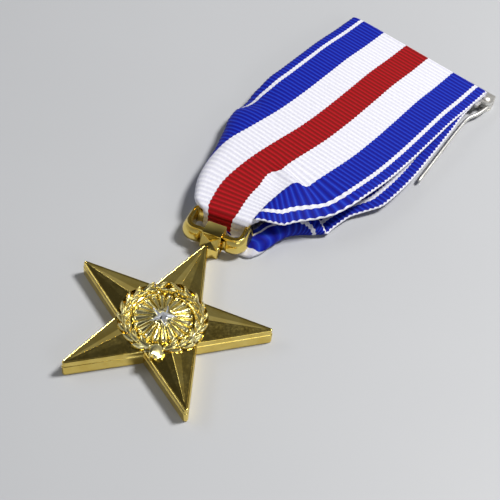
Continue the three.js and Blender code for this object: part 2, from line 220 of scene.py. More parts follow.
# ---- materials ----
def new_material(name):
    material = bpy.data.materials.new(name)
    material.use_nodes = True
    tree = material.node_tree
    shader = tree.nodes["Principled BSDF"]

    def node(kind, **inputs):
        made = tree.nodes.new(kind)
        for key, value in inputs.items():
            if hasattr(made, key):
                setattr(made, key, value)
            else:
                made.inputs[key.replace("_", " ")].default_value = value
        return made

    return material, tree, shader, node


def millimetres(tree, node, stretch=(1, 1, 1)):
    """Object coordinates in millimetres, stretched along each axis."""
    place = node("ShaderNodeTexCoord")
    scale = node("ShaderNodeMapping", Scale=[s / MM for s in stretch])
    tree.links.new(place.outputs["Object"], scale.inputs["Vector"])
    return scale.outputs["Vector"]


def metal(name, colour, deep, roughness, grain=(1, 1, 1), wear=0.25, dent=0.05):
    """Plated metal: its tone and polish drift, with fine scratches and a faint cast unevenness."""
    material, tree, shader, node = new_material(name)
    link = tree.links.new
    at = millimetres(tree, node)
    drift = node("ShaderNodeTexNoise", Scale=0.35, Detail=3.0)
    link(at, drift.inputs["Vector"])
    tone = node("ShaderNodeMix", data_type="RGBA", A=(*deep, 1), B=(*colour, 1))
    spread = node("ShaderNodeMapRange", From_Min=0.35, From_Max=0.6)
    link(drift.outputs["Fac"], spread.inputs["Value"])
    link(spread.outputs["Result"], tone.inputs["Factor"])
    link(tone.outputs["Result"], shader.inputs["Base Color"])
    scratch = node("ShaderNodeTexNoise", Scale=2.2, Detail=6.0, Roughness=0.7)
    link(millimetres(tree, node, grain), scratch.inputs["Vector"])
    rough = node("ShaderNodeMapRange", From_Min=0.3, From_Max=0.75, To_Min=roughness, To_Max=roughness + wear)
    link(scratch.outputs["Fac"], rough.inputs["Value"])
    link(rough.outputs["Result"], shader.inputs["Roughness"])
    uneven = node("ShaderNodeTexNoise", Scale=0.9, Detail=2.0)
    link(at, uneven.inputs["Vector"])
    heights = node("ShaderNodeMath", operation="MULTIPLY_ADD")
    heights.inputs[1].default_value = 0.12
    link(scratch.outputs["Fac"], heights.inputs[0])
    link(uneven.outputs["Fac"], heights.inputs[2])
    bump = node("ShaderNodeBump", Strength=1.0, Distance=dent * MM)
    link(heights.outputs[0], bump.inputs["Height"])
    link(bump.outputs["Normal"], shader.inputs["Normal"])
    shader.inputs["Metallic"].default_value = 1.0
    return material


STRIPE_RED = (0.42, 0.002, 0.009)
STRIPE_BLUE = (0.010, 0.042, 0.47)
STRIPE_WHITE = (0.80, 0.80, 0.86)
RIBBON_WIDTH = 34.9
RIB_PITCH = 1.0
# Where each stripe ends across the width, from the left edge, in mm from the middle.
STRIPES = [
    (-15.75, STRIPE_BLUE),
    (-14.9, STRIPE_WHITE),
    (-9.32, STRIPE_BLUE),
    (-3.28, STRIPE_WHITE),
    (2.48, STRIPE_RED),
    (8.88, STRIPE_WHITE),
    (14.34, STRIPE_BLUE),
    (15.19, STRIPE_WHITE),
    (17.1, STRIPE_BLUE),
    (17.45, STRIPE_WHITE),
]


def grosgrain():
    """Striped ribbed silk: the stripes follow the ribbon's width, and their edges step from rib to rib, with shade
    painted into the hollows between the ribs.
    """
    material, tree, shader, node = new_material("ribbon_grosgrain")
    link = tree.links.new
    weave = node("ShaderNodeUVMap", uv_map="weave")
    parts = node("ShaderNodeSeparateXYZ")
    link(weave.outputs["UV"], parts.inputs[0])

    def math_node(operation, a, b=None):
        made = node("ShaderNodeMath", operation=operation)
        for socket, value in zip(made.inputs, (a, b)):
            if isinstance(value, (int, float)):
                socket.default_value = value
            elif value is not None:
                link(value, socket)
        return made.outputs[0]

    across, along = parts.outputs["X"], parts.outputs["Y"]
    rib = math_node("PINGPONG", math_node("MULTIPLY", along, RIBBON_WIDTH / RIB_PITCH), 0.5)
    step = math_node("MULTIPLY", math_node("SUBTRACT", rib, 0.25), 0.5 / RIBBON_WIDTH)
    ramp = node("ShaderNodeValToRGB")
    ramp.color_ramp.interpolation = "CONSTANT"
    elements = ramp.color_ramp.elements
    elements.remove(elements[1])
    start = 0.0
    for k, (end, colour) in enumerate(STRIPES):
        element = elements[0] if k == 0 else elements.new(start)
        element.position = start
        element.color = (*colour, 1)
        start = end / RIBBON_WIDTH + 0.5
    link(math_node("ADD", across, step), ramp.inputs["Fac"])

    thread = node("ShaderNodeTexNoise", Scale=1.0, Detail=4.0, Roughness=0.65)
    stretch = node("ShaderNodeMapping", Scale=(RIBBON_WIDTH * 6, RIBBON_WIDTH * 1.2, 1))
    link(weave.outputs["UV"], stretch.inputs["Vector"])
    link(stretch.outputs["Vector"], thread.inputs["Vector"])
    # Painted shade: the colour is darkened in the hollows between the ribs, the dyed stripes far more than the
    # white ones, and lifted a little on the crests.
    hollow_shade = node("ShaderNodeMapRange", From_Max=0.5, To_Min=2.1, To_Max=0.9)
    link(rib, hollow_shade.inputs["Value"])
    rib_shaded_colour = node("ShaderNodeGamma")
    link(ramp.outputs["Color"], rib_shaded_colour.inputs["Color"])
    link(hollow_shade.outputs["Result"], rib_shaded_colour.inputs["Gamma"])
    fleck = node("ShaderNodeMapRange", From_Min=0.3, From_Max=0.7, To_Min=0.86, To_Max=1.08)
    link(thread.outputs["Fac"], fleck.inputs["Value"])
    tone = node("ShaderNodeVectorMath", operation="SCALE")
    link(rib_shaded_colour.outputs["Color"], tone.inputs[0])
    link(fleck.outputs["Result"], tone.inputs["Scale"])
    link(tone.outputs[0], shader.inputs["Base Color"])

    cords = node("ShaderNodeTexNoise", Scale=1.0, Detail=3.0)
    lay = node("ShaderNodeMapping", Scale=(RIBBON_WIDTH * 5, RIBBON_WIDTH * 2.5, 1))
    link(weave.outputs["UV"], lay.inputs["Vector"])
    link(lay.outputs["Vector"], cords.inputs["Vector"])
    bump = node("ShaderNodeBump", Strength=0.7, Distance=0.06 * MM)
    link(cords.outputs["Fac"], bump.inputs["Height"])
    link(bump.outputs["Normal"], shader.inputs["Normal"])
    rough = node("ShaderNodeMapRange", To_Min=0.55, To_Max=0.8)
    link(thread.outputs["Fac"], rough.inputs["Value"])
    link(rough.outputs["Result"], shader.inputs["Roughness"])
    shader.inputs["Sheen Weight"].default_value = 0.04
    shader.inputs["Sheen Roughness"].default_value = 0.4
    shader.inputs["Specular IOR Level"].default_value = 0.18
    return material


def thread_material():
    material, tree, shader, node = new_material("sewing_thread")
    link = tree.links.new
    twist = node("ShaderNodeTexWave", Scale=3.0, Distortion=1.5)
    link(millimetres(tree, node), twist.inputs["Vector"])
    tone = node("ShaderNodeMix", data_type="RGBA", A=(0.45, 0.44, 0.42, 1), B=(0.75, 0.74, 0.72, 1))
    link(twist.outputs["Fac"], tone.inputs["Factor"])
    link(tone.outputs["Result"], shader.inputs["Base Color"])
    bump = node("ShaderNodeBump", Strength=0.6, Distance=0.04 * MM)
    link(twist.outputs["Fac"], bump.inputs["Height"])
    link(bump.outputs["Normal"], shader.inputs["Normal"])
    shader.inputs["Roughness"].default_value = 0.7
    return material


def floor_material():
    material, tree, shader, node = new_material("floor")
    link = tree.links.new
    cloud = node("ShaderNodeTexNoise", Scale=9.0, Detail=5.0)
    place = node("ShaderNodeTexCoord")
    link(place.outputs["Object"], cloud.inputs["Vector"])
    tone = node("ShaderNodeMix", data_type="RGBA", A=(0.44, 0.45, 0.47, 1), B=(0.5, 0.51, 0.53, 1))
    link(cloud.outputs["Fac"], tone.inputs["Factor"])
    link(tone.outputs["Result"], shader.inputs["Base Color"])
    shader.inputs["Roughness"].default_value = 0.55
    return material


GILT = metal("gilt", (0.86, 0.67, 0.19), (0.76, 0.56, 0.13), 0.10, wear=0.1, dent=0.006)
# The same gilt, made lighter and paler for the burst, the wreath and the knot: painted light, so that their
# crowded highlights come out cream and not orange.
GILT_LIGHTENED_FOR_HIGHLIGHTS = metal("gilt_lightened_for_highlights", (0.95, 0.86, 0.45), (0.86, 0.74, 0.32), 0.17, wear=0.1, dent=0.004)
SILVER = metal("silver", (0.90, 0.91, 0.93), (0.74, 0.75, 0.78), 0.08, wear=0.12, dent=0.02)
NICKEL = metal("nickel", (0.86, 0.85, 0.81), (0.70, 0.68, 0.64), 0.34, grain=(0.3, 3, 3), wear=0.12)


def finish_piece(obj, material, body, replaced=()):
    """Gives a piece its material and its body, and hides the CAD nodes that it replaces."""
    obj.data.materials.clear()
    obj.data.materials.append(material)
    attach(obj, body)
    if replaced:
        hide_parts(*replaced)


# ---- star ----
STAR_RADIUS = 19
VALLEY_RATIO = 0.39
STAR_TIP_ROUNDING = 0.5
STAR_APEX = 4.3
# The star's side from its foot up, as (inset, z): wall, step, second wall and rim.
STAR_SIDE = [(0.14, 0), (0.04, 0.04), (0, 0.14), (0, 0.22), (0, 1.88),
             (0.01, 1.95), (0.06, 2.0), (0.13, 2.05), (0.15, 2.12), (0.15, 2.62), (0.14, 2.7), (0.1, 2.76),
             (0.1, 2.84), (0.14, 2.95), (0.2, 3.02), (0.28, 3.05), (0.36, 3.03), (0.42, 2.96)]
# Where the facets start inside the rim, as (inset, z).
STAR_BED = (0.45, 2.93)
SEAT_RADIUS, SEAT_FLOOR, SEAT_CUTTER_TOP = 7.35, 2.5, 6
SEAT_SIDES = 96
CENTRE_STAR_RADIUS, CENTRE_STAR_APEX, CENTRE_STAR_ROUNDING = 2.4, 4.9, 0.06
CENTRE_STAR_SIDE = [(0, 3.3), (0, 3.86), (0.02, 3.94), (0.06, 3.98)]
CENTRE_STAR_BED = (0.09, 3.98)

# A crease runs down each half of a ray: its share of the way from edge to ridge, and of the height.
CREASE_AT, CREASE_HEIGHT = 0.5, 0.36
CREASE_BLUR = 0.012
# A fine raised line runs along each ridge.
RIDGE_LINE_HEIGHT, RIDGE_LINE_WIDTH = 0.06, 0.018
# Steps from a ray's edge to its ridge, closer together at the crease and at the ridge.
RAY_STEPS = [0, 0.04, 0.1, 0.2, 0.3, 0.4, 0.46, 0.485, 0.5, 0.515, 0.54, 0.6, 0.7, 0.8, 0.9,
             0.94, 0.955, 0.965, 0.975, 0.985, 0.993, 1]

# The angle from a tip to the next valley, and half of the corner at a tip and at a valley.
TENTH = math.pi / 5
TIP_HALF = math.atan2(VALLEY_RATIO * math.sin(TENTH), 1 - VALLEY_RATIO * math.cos(TENTH))
VALLEY_HALF = TENTH + TIP_HALF


def star_outline(radius, inset, tip_rounding, valley_rounding, arc=8, along=8):
    """A five-pointed outline, inset from the star's edges, with rounded tips and valleys."""
    tip = radius - inset / math.sin(TIP_HALF)
    valley = radius * VALLEY_RATIO - inset / math.sin(VALLEY_HALF)
    points = []
    for ray in range(5):
        heading = math.radians(TOP_RAY) + ray * 2 * TENTH
        corners = ((tip, heading, TIP_HALF, 1, tip_rounding),
                   (valley, heading + TENTH, VALLEY_HALF, -1, valley_rounding))
        for reach, angle, half, out, rounding in corners:
            centre = reach - out * rounding / math.sin(half)
            span = math.pi / 2 - half
            for k in range(arc):
                a = angle + (-span + 2 * span * k / (arc - 1)) * out
                points.append((centre * math.cos(angle) + out * rounding * math.cos(a),
                               centre * math.sin(angle) + out * rounding * math.sin(a)))
            points.extend([None] * (along - 1))
    count = len(points)
    for i in range(count):
        if points[i] is None and points[i - 1] is not None:
            start = np.array(points[i - 1])
            end = np.array(points[(i + along - 1) % count])
            for k in range(1, along):
                points[i + k - 1] = tuple(start + (end - start) * k / along)
    return points


def ray_height(g):
    """Rise from a ray's edge at 0 to its ridge at 1, with the crease between and both rounded."""
    if g <= CREASE_BLUR:
        return g * CREASE_HEIGHT / CREASE_AT
    samples = []
    for shift in np.linspace(-CREASE_BLUR, CREASE_BLUR, 7):
        x = 1 - abs(1 - g - shift)
        line = RIDGE_LINE_HEIGHT * bell(x, 1, RIDGE_LINE_WIDTH)
        samples.append(np.interp(x, (0, CREASE_AT, 1), (0, CREASE_HEIGHT, 1)) + line)
    return np.mean(samples)


def star_piece(name, radius, rings, bed, apex, tip_rounding, along=8):
    """A ridged star: rings of (inset, z) up the side, then four facets on each ray."""
    shell = Shell()
    vertices = []
    for inset, z in rings:
        at_tip = max(tip_rounding - inset, 0.02)
        outline = star_outline(radius, inset, at_tip, 0.1 + inset, along=along)
        vertices.extend([(x, y, z) for x, y in outline])
    last = [(x, y, bed[1]) for x, y in star_outline(radius, bed[0], 1e-5, 1e-5, along=along)]
    vertices.extend(last)
    count = len(last)
    shell.add(vertices, rings_to_faces(len(rings) + 1, count, True, False))
    tip = radius - bed[0] / math.sin(TIP_HALF)
    valley = radius * VALLEY_RATIO - bed[0] / math.sin(VALLEY_HALF)
    for ray in range(5):
        heading = math.radians(TOP_RAY) + ray * 2 * TENTH
        t = tip * np.array((math.cos(heading), math.sin(heading)))
        for side in (1, -1):
            turn = heading + side * TENTH
            v = valley * np.array((math.cos(turn), math.sin(turn)))
            grid = []
            for g in RAY_STEPS:
                q = v * (1 - g)
                for k in range(along + 1):
                    x, y = t + (q - t) * k / along
                    grid.append((x, y, bed[1] + (apex - bed[1]) * k / along * ray_height(g)))
            n = along + 1
            quads = [[i * n + k, i * n + k + 1, (i + 1) * n + k + 1, (i + 1) * n + k]
                     for i in range(len(RAY_STEPS) - 1) for k in range(along)]
            shell.add(grid, quads)
    return add_mesh(name, shell.vertices, shell.faces, STAR, sharp=50)


def cut_seat(star):
    """Sinks a round flat into the middle of the star for the wreath and the burst."""
    angles = [2 * math.pi * k / SEAT_SIDES for k in range(SEAT_SIDES)]
    ring = [(SEAT_RADIUS * math.cos(a), SEAT_RADIUS * math.sin(a)) for a in angles]
    cutter = add_mesh("seat_cutter", *prism(ring, SEAT_FLOOR, SEAT_CUTTER_TOP), STAR)
    cut = star.modifiers.new("seat", "BOOLEAN")
    cut.operation = "DIFFERENCE"
    cut.object = cutter
    depsgraph = bpy.context.evaluated_depsgraph_get()
    mesh = bpy.data.meshes.new_from_object(star.evaluated_get(depsgraph))
    star.modifiers.clear()
    star.data = mesh
    mesh.shade_smooth()
    mesh.set_sharp_from_angle(angle=math.radians(50))
    bpy.data.objects.remove(cutter)


def make_star():
    star = star_piece("star", STAR_RADIUS, STAR_SIDE, STAR_BED, STAR_APEX, STAR_TIP_ROUNDING)
    cut_seat(star)
    finish_piece(star, GILT, "star", ["star_body"])


def make_centre_star():
    star = star_piece("silver_star", CENTRE_STAR_RADIUS, CENTRE_STAR_SIDE, CENTRE_STAR_BED,
                      CENTRE_STAR_APEX, CENTRE_STAR_ROUNDING, along=6)
    finish_piece(star, SILVER, "star", ["centre_star"])


# ---- burst ----
BURST_RAYS = 20
BURST_RADIUS = 4.9
BURST_TOP, BURST_FALL = 3.72, 0.62
BURST_SKIRT = (2.6, 2.2)
PETAL_HALF = math.pi / BURST_RAYS
PETAL_FILL = 0.84
# The petals rise out of the dome between these radii.
PETAL_START, PETAL_FULL = 1.5, 2.2
# Where a petal's end starts to round off, and over what length.
PETAL_END_START, PETAL_END_LENGTH = 4.1, 0.82
PETAL_RIM, PETAL_END_RIM, PETAL_GROOVE, PETAL_SINK = 0.25, 0.2, 0.42, 0.06


def petal_relief(r, a):
    """Height over the dome at radius r and angle a from a petal's middle: its rim, its end and the groove."""
    wide = PETAL_FILL * r * PETAL_HALF
    if r > PETAL_END_START:
        wide *= math.sqrt(max(1 - ((r - PETAL_END_START) / PETAL_END_LENGTH) ** 2, 0.02))
    u = r * math.sin(a) / max(wide, 1e-3)
    rim = PETAL_RIM * bell(u, 0.72, 0.22)
    end = PETAL_END_RIM * bell(r, 4.62, 0.16) * max(0, 1 - u)
    groove = PETAL_GROOVE * smooth_step(u, 0.92, 1.16)
    return smooth_step(r, PETAL_START, PETAL_FULL) * (rim + end - groove - PETAL_SINK)


def make_burst():
    """A dome of long petals, each with a raised rim and a rounded end."""
    per_petal, rows = 22, 44
    around = BURST_RAYS * per_petal
    vertices = []
    for i in range(rows + 1):
        for j in range(around):
            phi = 2 * math.pi * (j + 0.5) / around
            a = abs(phi % (2 * PETAL_HALF) - PETAL_HALF)
            edge = BURST_RADIUS - 0.42 * (a / PETAL_HALF) ** 2.5
            r = max(i / rows, 0.02) * edge
            z = BURST_TOP - BURST_FALL * (r / BURST_RADIUS) ** 2.1 + petal_relief(r, a)
            vertices.append((r * math.cos(phi), r * math.sin(phi), z))
    rim = vertices[-around:]
    for z in BURST_SKIRT:
        vertices.extend([(x, y, z) for x, y, _ in rim])
    faces = rings_to_faces(rows + 1 + len(BURST_SKIRT), around)
    burst = add_mesh("ray_burst_petals", vertices, faces, STAR, sharp=60)
    finish_piece(burst, GILT_LIGHTENED_FOR_HIGHLIGHTS, "star", ["ray_burst"])


# ---- wreath ----
WREATH_TURN = math.radians(16)
WREATH_RADIUS = 6.3
# The bed under the leaves, as (offset from the wreath's radius, z).
WREATH_BED = [(-1.1, 2.2), (-1.1, 2.75), (-0.85, 2.95), (0.0, 3.05), (0.5, 2.95), (0.72, 2.75), (0.72, 2.2)]
LEAF_NODES = 9
LEAF_LENGTH, LEAF_WIDTH, LEAF_HEIGHT = 2.6, 0.92, 0.42
LEAF_Z, MIDDLE_LEAF_RISE = 3.3, 0.14
LEAF_LIFT = 0.16
# The three leaves of a node: offset from the wreath's radius, turn, and reach round the wreath.
LEAF_TRIO = ((0.55, -0.45, 0.10), (-0.55, 0.5, 0.10), (0.0, 0.0, 0.0))
TIE_OUTLINE = [(0.25, 1.35), (0.95, 0.75), (1.2, -0.2), (0.95, -1.1), (0.3, -1.6),
               (-0.35, -1.25), (-0.9, -1.55), (-1.15, -0.7), (-0.95, 0.35), (-0.45, 1.15)]
# Up the knot's side, as (z, share of the outline's size).
TIE_RINGS = ((2.7, 0.96), (3.0, 1.0), (3.75, 1.0), (3.98, 0.9), (4.1, 0.72), (4.16, 0.4))
TIE_OFFSET = 0.7
TIE_TOP_FROM = 3.8
TIE_SLOPE, TIE_CREASE = 0.28, 0.22


def leaf_shape(length, width, height, rows=12, columns=8):
    """A pointed leaf lying along +X with a sunk midrib, as a closed shell."""
    top, bottom = [], []
    for i in range(rows + 1):
        u = i / rows
        half = width / 2 * math.sin(math.pi * min(1, u ** 0.85)) ** 0.75
        for j in range(columns + 1):
            v = -1 + 2 * j / columns
            body = (1 - abs(v) ** 2.2) * math.sin(math.pi * u) ** 0.5
            vein = 0.35 * math.exp(-((v / 0.16) ** 2)) * math.sin(math.pi * u)
            top.append(((u - 0.5) * length, half * v, height * (body - vein) + 0.12 * u * length))
            bottom.append(((u - 0.5) * length, half * v, -0.35))
    n = columns + 1
    faces = []
    for base, flip in ((0, False), (len(top), True)):
        for i in range(rows):
            for j in range(columns):
                near, far = base + i * n + j, base + (i + 1) * n + j
                quad = [near, far, far + 1, near + 1]
                faces.append(quad[::-1] if flip else quad)
    for i in range(rows):
        for j in (0, columns):
            a, b = i * n + j, (i + 1) * n + j
            faces.append([a, b, len(top) + b, len(top) + a])
    return top + bottom, faces


def placed(vertices, radius, angle, turn, z, lift, roll):
    """Turns a leaf about its own middle and sets it on the wreath's ring."""
    m = (Matrix.Rotation(angle, 4, "Z") @ Matrix.Translation((radius, 0, z)) @ Matrix.Rotation(turn, 4, "Z")
         @ Matrix.Rotation(-lift, 4, "Y") @ Matrix.Rotation(roll, 4, "X"))
    return [tuple(m @ Vector(v)) for v in vertices]


def make_branch(side):
    """One laurel branch: a rounded bed with overlapping leaves in threes."""
    dice = random.Random(7 + side)
    name = "laurel_right" if side > 0 else "laurel_left"
    node_name = "wreath_branch_right" if side > 0 else "wreath_branch_left"
    first = WREATH_TURN + math.radians(-90 + 9 * side)
    last = WREATH_TURN + math.radians(-90 + 175 * side)
    shell = Shell()
    steps = 60
    bed = []
    for i in range(steps + 1):
        a = first + (last - first) * i / steps
        fade = min(1, (steps - i) / 6 + 0.25)
        for offset, z in WREATH_BED:
            r = WREATH_RADIUS + offset * fade
            bed.append((r * math.cos(a), r * math.sin(a), z))
    shell.add(bed, rings_to_faces(steps + 1, len(WREATH_BED)))
    along = side * math.pi / 2
    for i in range(LEAF_NODES):
        share = (i + 0.5) / LEAF_NODES
        angle = first + (last - first) * share
        size = 1.0 - 0.22 * share
        for offset, turn, reach in LEAF_TRIO:
            length = LEAF_LENGTH * size * dice.uniform(0.92, 1.08)
            vertices, faces = leaf_shape(length, LEAF_WIDTH * size, LEAF_HEIGHT)
            heading = along + turn * side + dice.uniform(-0.08, 0.08)
            z = LEAF_Z + dice.uniform(-0.06, 0.08)
            if offset == 0:
                z += MIDDLE_LEAF_RISE
            roll = dice.uniform(-0.2, 0.2)
            r = WREATH_RADIUS + offset * size
            shell.add(placed(vertices, r, angle + reach * side, heading, z, LEAF_LIFT, roll), faces)
    branch = add_mesh(name, shell.vertices, shell.faces, STAR, sharp=60)
    finish_piece(branch, GILT_LIGHTENED_FOR_HIGHLIGHTS, "star", [node_name])


def make_tie():
    """A big knot with two short tails over the ends of the branches, sloping and creased on top."""
    rings = []
    for z, scale in TIE_RINGS:
        for x, y in TIE_OUTLINE:
            fall = 0
            if z > TIE_TOP_FROM:
                fall = TIE_SLOPE * x * scale
                if y < 0.6:
                    fall += TIE_CREASE * bell(x, 0, 0.22)
            rings.append((x * scale, y * scale - WREATH_RADIUS - TIE_OFFSET, z - fall))
    faces = rings_to_faces(len(TIE_RINGS), len(TIE_OUTLINE))
    turn = Matrix.Rotation(WREATH_TURN, 4, "Z")
    tie = add_mesh("wreath_knot", rings, faces, STAR @ turn, sharp=40)
    soften(tie, 0.07)
    finish_piece(tie, GILT_LIGHTENED_FOR_HIGHLIGHTS, "star", ["wreath_tie"])


# ---- suspension ----
LOOP_HALF, LOOP_STRIP, LOOP_DEPTH = 5.4, 0.8, 3.4
LOOP_CORNER_LOW, LOOP_CORNER_HIGH = 1.5, 0.9
# The strip's edge with its groove, as (place across the strip, rise from the edge).
LOOP_EDGE = [(-0.4, 0.1), (-0.37, 0.03), (-0.3, 0), (-0.2, 0.02), (-0.1, 0.24),
             (0.06, 0.24), (0.16, 0.02), (0.3, 0), (0.37, 0.03), (0.4, 0.1)]
# The swell of the loop's outer side, as (outward, height from the loop's middle).
LOOP_SWELL = [(0.01, -1.46), (0.3, -1.4), (0.62, -1.12), (0.76, -0.6), (0.72, -0.1),
              (0.55, 0.5), (0.3, 0.98), (0.1, 1.24), (0.01, 1.36)]
# The swell grows from nothing on each side of the star's sleeve, as (distance from its middle, share).
SWELL_STARTS = [(2.35, 0.0), (2.6, 0.8), (2.85, 1.0)]

LUG_HALF = 1.75
LUG_BOTTOM, LUG_TOP = 0.15, 4.85
LUG_NEAR, LUG_FAR = BAR_LOW.y - 1.25, BAR_LOW.y + 1.6
LUG_WALL, LUG_WALL_NEAR, LUG_WALL_FAR = 0.35, 0.16, 0.4
LUG_BEVEL = 0.085
# The foot, from the tip of the top ray to the sleeve's near wall.
FOOT_TOP = 2.6
FOOT_OUTLINE = [(-1.0, 17.4), (0.1, 17.4), (0.6, 17.9), (1.55, 18.0), (LUG_HALF, 18.3), (LUG_HALF, 19.0),
                (-LUG_HALF, 19.0), (-LUG_HALF, 18.85), (-1.1, 18.2)]


def rounded_path(x0, x1, y0, y1, low, high, per_corner=10):
    """A rounded rectangle as (x, y, outward x, outward y), with radius low or high at its corners."""
    points = []
    corners = ((x1 - low, y0 + low, low, -90), (x1 - high, y1 - high, high, 0),
               (x0 + high, y1 - high, high, 90), (x0 + low, y0 + low, low, 180))
    for cx, cy, radius, start in corners:
        for k in range(per_corner + 1):
            a = math.radians(start + 90 * k / per_corner)
            points.append((cx + radius * math.cos(a), cy + radius * math.sin(a), math.cos(a), math.sin(a)))
    return points


def make_loop():
    """A closed band bent to a rounded rectangle, grooved along its edges, that swells outside the sleeve."""
    half = LOOP_HALF - LOOP_STRIP / 2
    corners = rounded_path(BAR_HIGH.x - half, BAR_HIGH.x + half, BAR_LOW.y, BAR_HIGH.y,
                           LOOP_CORNER_LOW, LOOP_CORNER_HIGH)
    path = [(*point, 1.0) for point in corners]
    low_bar = [(-x, share) for x, share in reversed(SWELL_STARTS)] + SWELL_STARTS
    path += [(BAR_LOW.x + x, BAR_LOW.y, 0, -1, share) for x, share in low_bar]
    low_edge = [(across, rise - LOOP_DEPTH / 2) for across, rise in LOOP_EDGE]
    high_edge = [(across, -z) for across, z in reversed(low_edge)]
    vertices = []
    for x, y, nx, ny, share in path:
        side = [(LOOP_STRIP / 2 + 0.01 + out * share, z) for out, z in LOOP_SWELL]
        section = low_edge + side + high_edge
        vertices.extend([(x + nx * o, y + ny * o, BAR_HIGH.z + z) for o, z in section])
    n, m = len(section), len(path)
    faces = [[i * n + j, i * n + (j + 1) % n, ((i + 1) % m) * n + (j + 1) % n, ((i + 1) % m) * n + j]
             for i in range(m) for j in range(n)]
    loop = add_mesh("suspension_ring", vertices, faces, STAR, sharp=40)
    finish_piece(loop, GILT, "loop", ["suspension_loop"])


def add_sleeve(shell):
    """A square tube round the loop's low bar, open at its two ends."""
    outer = [(LUG_NEAR, LUG_BOTTOM), (LUG_FAR, LUG_BOTTOM), (LUG_FAR, LUG_TOP), (LUG_NEAR, LUG_TOP)]
    near, far = LUG_NEAR + LUG_WALL_NEAR, LUG_FAR - LUG_WALL_FAR
    low, high = LUG_BOTTOM + LUG_WALL, LUG_TOP - LUG_WALL
    inner = [(near, low), (far, low), (far, high), (near, high)]
    vertices = [(x, y, z) for x in (-LUG_HALF, LUG_HALF) for ring in (outer, inner) for y, z in ring]
    faces = []
    for k in range(4):
        n = (k + 1) % 4
        faces.append([k, n, 8 + n, 8 + k])
        faces.append([4 + k, 4 + n, 12 + n, 12 + k])
        faces.append([k, n, 4 + n, 4 + k])
        faces.append([8 + k, 8 + n, 12 + n, 12 + k])
    shell.add(*bevelled(vertices, faces, LUG_BEVEL))


def add_near_face(shell):
    """A slanted plate on the sleeve's near wall, sunk to a point in its middle so that its creases cross."""
    half = LUG_HALF - 0.12
    top, bottom = LUG_TOP - 0.3, 2.45
    near_top, near_bottom = LUG_NEAR - 0.1, LUG_NEAR - 1.35
    face = [(-half, near_bottom, bottom), (half, near_bottom + 0.1, bottom), (half, near_top, top),
            (-half, near_top, top)]
    back = [(x, LUG_NEAR + 0.08, z) for x, _, z in face]
    middle = (0, (near_top + near_bottom) / 2 + 0.62, (top + bottom) / 2 - 0.4)
    creased = [[0, 1, 8], [1, 2, 8], [2, 3, 8], [3, 0, 8]]
    sides = [[4, 5, 6, 7], [0, 1, 5, 4], [1, 2, 6, 5], [2, 3, 7, 6], [3, 0, 4, 7]]
    shell.add(*bevelled([*face, *back, middle], creased + sides, 0.04))


def make_lug():
    """The sleeve round the low bar, its creased near face, and the foot brazed to the top ray."""
    shell = Shell()
    add_sleeve(shell)
    add_near_face(shell)
    shell.add(*bevelled(*prism(FOOT_OUTLINE, 0.02, FOOT_TOP), 0.1))
    middle = Matrix.Translation((BAR_LOW.x, 0, 0))
    lug = add_mesh("suspension_sleeve", shell.vertices, shell.faces, STAR @ middle, sharp=30)
    finish_piece(lug, GILT, "star", ["suspension_lug"])


# ---- ribbon ----
HALF_WIDTH = RIBBON_WIDTH / 2
ROW = RIB_PITCH / 4
COLUMNS = 88
CLOTH = 0.22
RIB = (0.0, 0.75, 1.0, 0.75)
RIB_HEIGHT = 0.115
LAYER_RISE = 0.36
BACK_Z = 2.85
FOLD_RADIUS = 0.34
FRONT_Z = BACK_Z + 2 * FOLD_RADIUS
INTO_RIBBON = RIBBON.inverted() @ STAR
BAR = INTO_RIBBON @ Vector((BAR_HIGH.x, BAR_HIGH.y, 0))
BAR_ACROSS = (INTO_RIBBON.to_3x3() @ Vector((1, 0, 0))).normalized()
BAR_ALONG = (INTO_RIBBON.to_3x3() @ Vector((0, 1, 0))).normalized()
BAR_TURN = math.atan2(BAR_ACROSS.y, BAR_ACROSS.x)


def at_bar(along, z):
    place = BAR + BAR_ALONG * along
    return (place.x, place.y, z)


def middle_line():
    """The ribbon's middle: its sewn end, the top fold, down the front, round the bar and up the back."""
    top = -FOLD_RADIUS
    line = [(0, -4.4, BACK_Z), (0, -2.5, BACK_Z), (0, top - 0.1, BACK_Z)]
    for degrees in (-60, -30, 0, 30, 60):
        a = math.radians(degrees)
        line.append((0, top + FOLD_RADIUS * math.cos(a), BACK_Z + FOLD_RADIUS * (1 + math.sin(a))))
    line += [(0, top - 0.1, FRONT_Z), (0.1, -3, 3.54), (0.3, -7, 3.62), (0.6, -14, 3.95), (1.2, -21, 4.2),
             (1.85, -30, 4.4), (2.1, -38, 4.6), (1.75, -46, 4.8), (1.6, -51, 4.9), (1.75, -55.5, 4.92),
             (2.3, -60, 4.92)]
    round_bar = ((2.6, 4.88), (0.5, 4.78), (-0.25, 4.72), (-0.75, 4.45), (-0.95, 3.9), (-0.95, 2.5),
                 (-0.95, 1.1), (-0.75, 0.55), (-0.25, 0.28), (0.5, 0.24), (2.6, 0.24))
    line += [at_bar(a, z) for a, z in round_bar]
    line += [(2.6, -60.5, 0.26), (2.6, -56, 0.45), (3.2, -48, 1.0), (4.1, -40, 1.6), (3.9, -32, 2.0),
             (2.85, -24, 2.3), (1.5, -15, 2.7), (0.5, -9.5, BACK_Z), (0, -5, BACK_Z)]
    return line


# The edge of the pleat that lies on the right of the front: distance down the ribbon, then x and y.
PLEAT_EDGE = [(46, 10.5, -46.2), (48.6, 10.6, -49.3), (49.8, 10.6, -50.8), (50.3, 10.2, -51.2),
              (50.9, 8.5, -51.1), (51.4, 8.2, -51.5), (52.6, 8.2, -53.0), (54.6, 8.25, -55.6),
              (57, 8.4, -58.9), (59, 8.7, -61.7), (60.5, 9.3, -64.4)]
